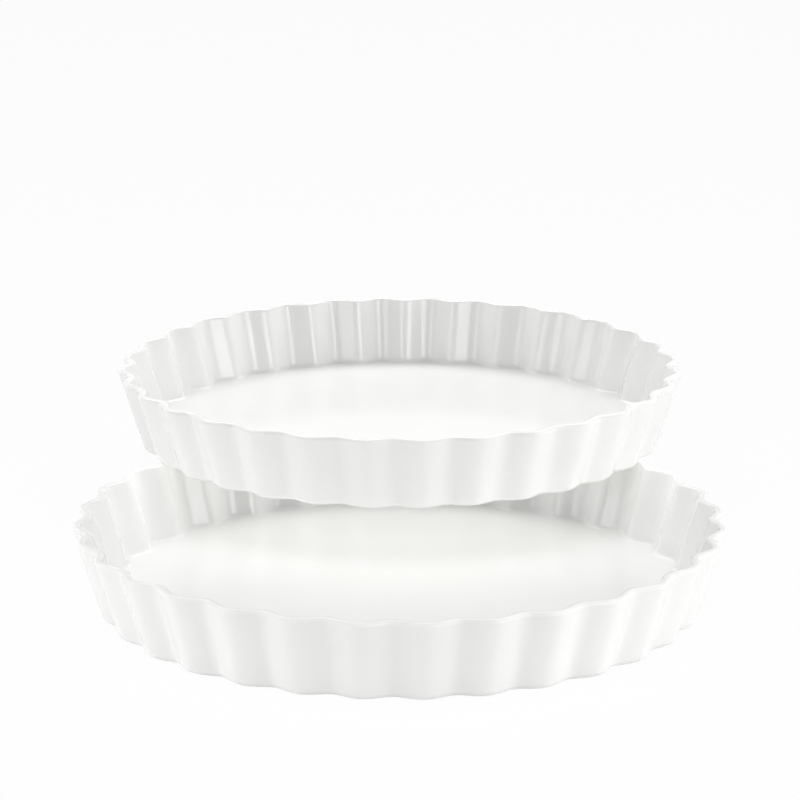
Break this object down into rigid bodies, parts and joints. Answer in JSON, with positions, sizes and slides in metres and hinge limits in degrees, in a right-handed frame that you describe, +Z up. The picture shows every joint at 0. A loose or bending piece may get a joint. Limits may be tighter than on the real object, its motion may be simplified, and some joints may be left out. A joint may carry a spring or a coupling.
{
  "type": "fluted quiche dish set",
  "caption": "Round shallow quiche dishes of white glazed porcelain with sloping fluted walls, a scalloped rim and a flat floor, the smaller standing on the rear rim of the larger.",
  "frame": {"origin": "on the table under the middle of the set's box", "axes": "+Z up, +Y to the rear, from the large dish towards the small one, +X to the right"},
  "size_m": [0.299, 0.4271, 0.0747],
  "materials": {
    "white_porcelain": "smooth glossy clear glaze over white porcelain, bare and matt on the foot rings"
  },
  "bodies": {
    "large_dish": {"large_dish": "white_porcelain"},
    "small_dish": {"small_dish": "white_porcelain"}
  },
  "joints": [
    {"name": "small_dish_lift", "type": "slide", "parent": "large_dish", "child": "small_dish", "axis": [0, 0, 1], "range_m": [0, 0.12]}
  ]
}
